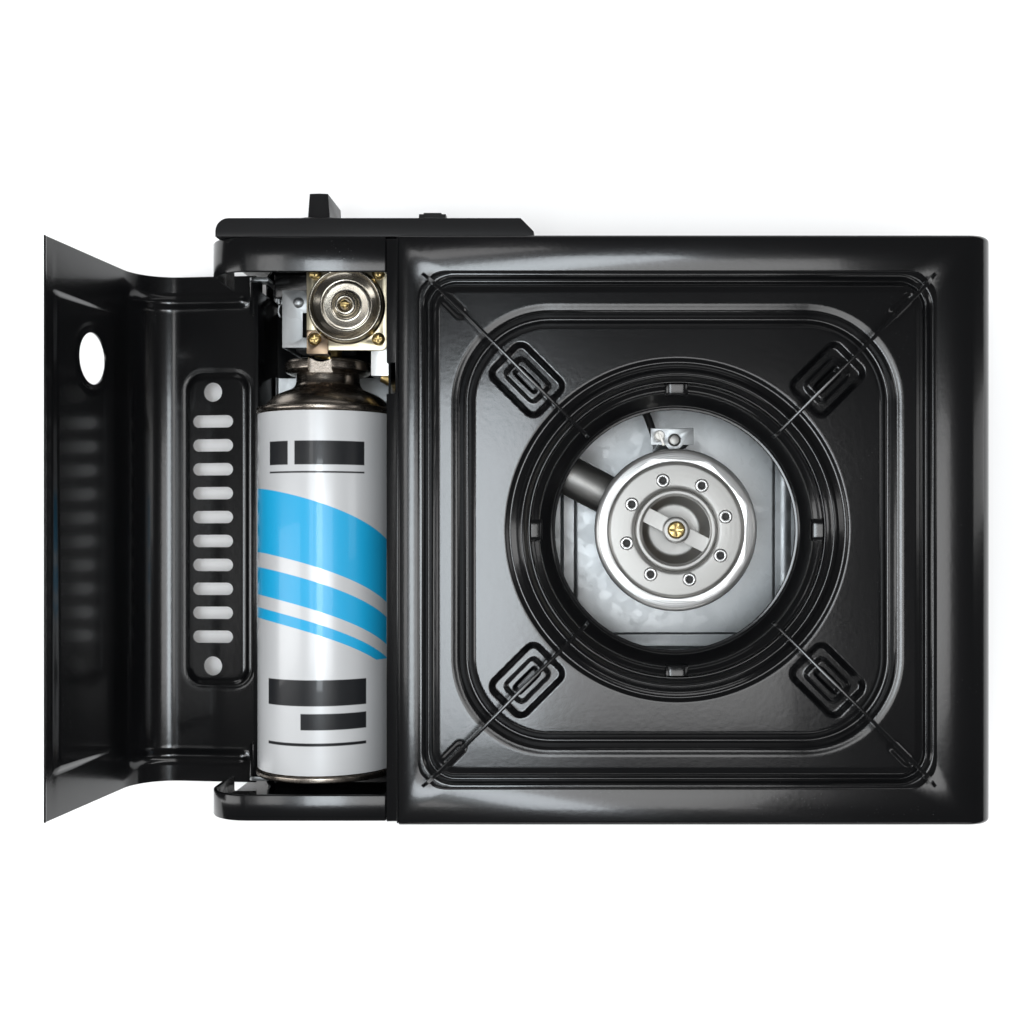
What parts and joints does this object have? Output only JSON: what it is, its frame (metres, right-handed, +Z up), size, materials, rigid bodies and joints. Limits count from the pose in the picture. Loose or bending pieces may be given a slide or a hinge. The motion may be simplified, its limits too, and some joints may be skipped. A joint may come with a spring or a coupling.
{
  "type": "portable butane stove",
  "caption": "Portable cassette stove with a hinged bay lid, gas cartridge, regulator, knob, lift-out drip pan and pot support blades round a central burner.",
  "frame": {"origin": "under the centre of the bounding box with the bay lid open, on the surface the feet stand on", "axes": "+Z up; the control panel faces -Y; the cartridge bay and its open lid are on +X"},
  "size_m": [0.4244, 0.2922, 0.112],
  "materials": {
    "black_enamel": "gloss black baked enamel over pressed steel",
    "black_plastic": "moulded black plastic",
    "galvanized": "galvanised sheet",
    "stainless": "satin stainless steel",
    "cast_aluminium": "turned aluminium casting",
    "grey_tube": "dark steel tube",
    "brass": "plain brass",
    "zinc_yellow": "yellow zinc plating",
    "polished": "polished nickel",
    "brown_steel": "heat-tinted steel",
    "ceramic": "glazed white ceramic",
    "rubber": "matt black rubber",
    "lead_black": "black insulated lead",
    "tinplate": "bright tinplate with a warm tint",
    "label": "printed white and cyan lacquer",
    "matte_black": "matt black plastic",
    "white_mark": "white mark"
  },
  "bodies": {
    "stove": {"top_panel": "black_enamel", "ledge": "black_enamel", "partition": "black_enamel", "bottom_case": "black_enamel", "feet": "rubber", "front_end_cap": "black_enamel", "rear_end_cap": "black_enamel", "bay_liner": "galvanized", "bay_wall": "black_enamel", "hinge_pins": "galvanized", "base_plate": "galvanized", "burner_bracket": "galvanized", "bracket_rivets": "stainless", "burner_cup": "cast_aluminium", "burner_head": "cast_aluminium", "flame_plate": "stainless", "port_eyelets": "stainless", "centre_disc": "stainless", "centre_screw": "brass", "mixing_tube": "grey_tube", "igniter_bracket": "galvanized", "igniter_screw": "stainless", "electrode": "ceramic", "ignition_lead": "lead_black", "igniter": "matte_black", "regulator_body": "cast_aluminium", "inlet_ring": "brass", "jet": "brass", "regulator_plate": "zinc_yellow", "regulator_screws": "brass", "diaphragm_cover": "polished", "cover_screw": "brass", "alignment_tongue": "brown_steel", "regulator_bracket": "galvanized", "front_panel": "black_plastic", "lever_bracket": "galvanized", "push_guides": "galvanized"},
    "lid": {"lid": "black_enamel"},
    "pan": {"drip_pan": "black_enamel", "pan_bowl": "black_enamel", "pot_support_1": "black_enamel", "pot_support_2": "black_enamel", "pot_support_3": "black_enamel", "pot_support_4": "black_enamel"},
    "knob": {"knob": "black_plastic", "knob_pointer": "white_mark"},
    "lever": {"lock_lever": "galvanized", "lever_tip": "black_plastic"},
    "push_plate": {"push_plate": "galvanized"},
    "canister": {"canister_body": "tinplate", "canister_base": "tinplate", "canister_dome": "tinplate", "canister_collar": "tinplate", "canister_stem": "ceramic", "canister_label": "label"}
  },
  "joints": [
    {"name": "lid_hinge", "type": "hinge", "parent": "stove", "child": "lid", "pos_m": [0.13884, 0.0121, 0.026], "axis": [0, 1, 0], "range_deg": [-96, 0]},
    {"name": "pan_lift", "type": "slide", "parent": "stove", "child": "pan", "axis": [0, 0, 1], "range_m": [0, 0.06]},
    {"name": "knob_turn", "type": "hinge", "parent": "stove", "child": "knob", "pos_m": [0.09884, -0.1374, 0.05], "axis": [0, -1, 0], "range_deg": [0, 90]},
    {"name": "lock_lever", "type": "hinge", "parent": "stove", "child": "lever", "pos_m": [0.04784, -0.1064, 0.034], "axis": [1, 0, 0], "range_deg": [0, 20]},
    {"name": "push_slide", "type": "slide", "parent": "stove", "child": "push_plate", "axis": [0, -1, 0], "range_m": [0, 0.00515]},
    {"name": "canister_lift", "type": "slide", "parent": "push_plate", "child": "canister", "axis": [0, 0, 1], "range_m": [0, 0.11]}
  ],
  "couplings": [
    {"joint": "push_slide", "follows": "lock_lever", "m_per_rad": 0.0147}
  ]
}
